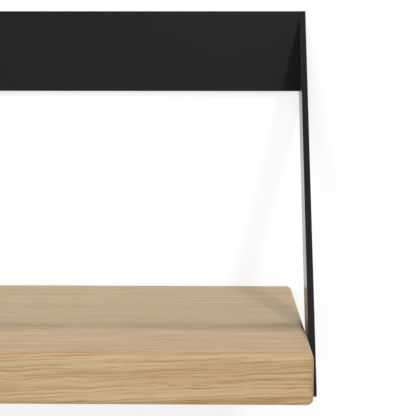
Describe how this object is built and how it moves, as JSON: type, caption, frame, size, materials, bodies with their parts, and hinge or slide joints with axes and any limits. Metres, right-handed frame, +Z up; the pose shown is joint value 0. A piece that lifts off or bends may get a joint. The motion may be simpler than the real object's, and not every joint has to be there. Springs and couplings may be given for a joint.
{
  "type": "wall shelf",
  "caption": "Wall shelf: a thick rounded oak board held at its ends by sloping flat steel arms that drop from a flat steel wall rail.",
  "frame": {"origin": "on the wall plane, at the back face of the rail, halfway between its two screw holes", "axes": "+X to the right along the shelf, +Y into the wall, +Z up; the room is on the -Y side"},
  "size_m": [1, 0.24, 0.278],
  "materials": {
    "black_steel": "matte fine-textured powder coat",
    "oak": "clear matte oil on solid oak",
    "black_zinc": "black zinc-plated steel"
  },
  "bodies": {
    "root": {"wall_rail": "black_steel", "arm_right": "black_steel", "arm_left": "black_steel", "foot_right": "black_steel", "foot_left": "black_steel", "rail_weld_right": "black_steel", "rail_weld_left": "black_steel", "foot_weld_right": "black_steel", "foot_weld_left": "black_steel", "stave_back": "oak", "stave_middle": "oak", "stave_front": "oak", "foot_screw_right_front": "black_zinc", "foot_screw_right_rear": "black_zinc", "foot_screw_left_front": "black_zinc", "foot_screw_left_rear": "black_zinc"}
  },
  "joints": []
}
